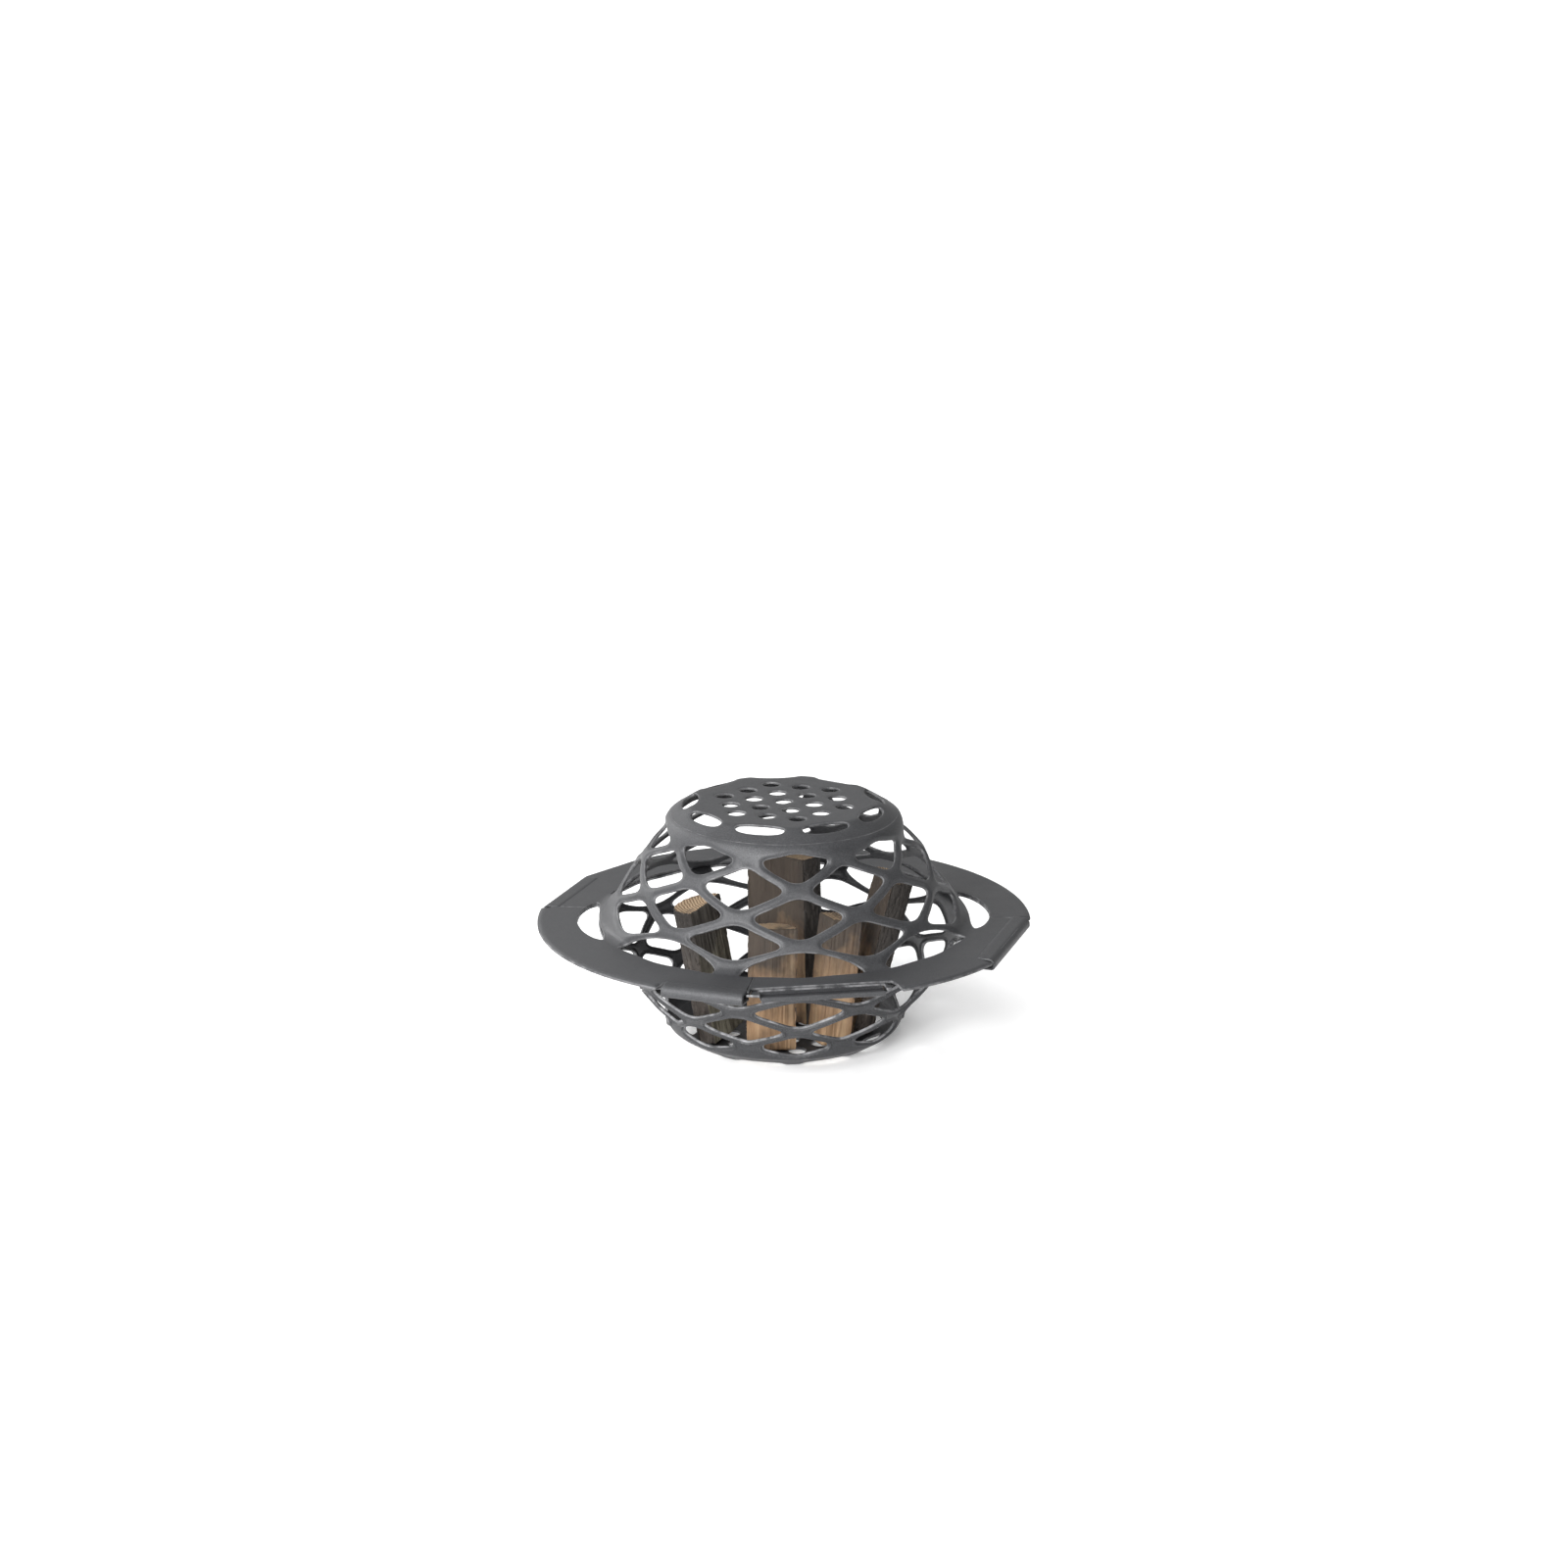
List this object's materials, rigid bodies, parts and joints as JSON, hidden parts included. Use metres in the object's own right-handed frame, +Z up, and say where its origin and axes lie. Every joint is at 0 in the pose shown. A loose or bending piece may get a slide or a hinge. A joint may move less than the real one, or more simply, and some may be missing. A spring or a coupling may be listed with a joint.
{
  "type": "lattice fire basket",
  "caption": "Round steel fire basket of two pressed lattice hats locked brim to brim, with perforated end plates and split logs inside.",
  "frame": {"origin": "centre of the floor plate's underside, on the ground, on the axis of both hats", "axes": "+Z up along the axis of the hats; -Y is the front, where the finger recess is; +X is to the right seen from the front"},
  "size_m": [0.6, 0.5962, 0.296],
  "materials": {
    "painted_steel": "satin dark graphite heat paint, finely speckled",
    "split_wood": "rough split firewood with dark bark"
  },
  "bodies": {
    "lower_half": {"lower_petal_1": "painted_steel", "lower_petal_2": "painted_steel", "lower_petal_3": "painted_steel", "lower_petal_4": "painted_steel", "floor_plate": "painted_steel", "log_left": "split_wood", "log_front": "split_wood", "log_front_right": "split_wood", "log_right": "split_wood", "log_back": "split_wood"},
    "upper_half": {"upper_petal_1": "painted_steel", "upper_petal_2": "painted_steel", "upper_petal_3": "painted_steel", "upper_petal_4": "painted_steel", "crown_plate": "painted_steel"}
  },
  "joints": [
    {"name": "twist_lock", "type": "hinge", "parent": "lower_half", "child": "upper_half", "pos_m": [0, 0, 0.148], "axis": [0, 0, 1], "range_deg": [-26, 0]}
  ]
}
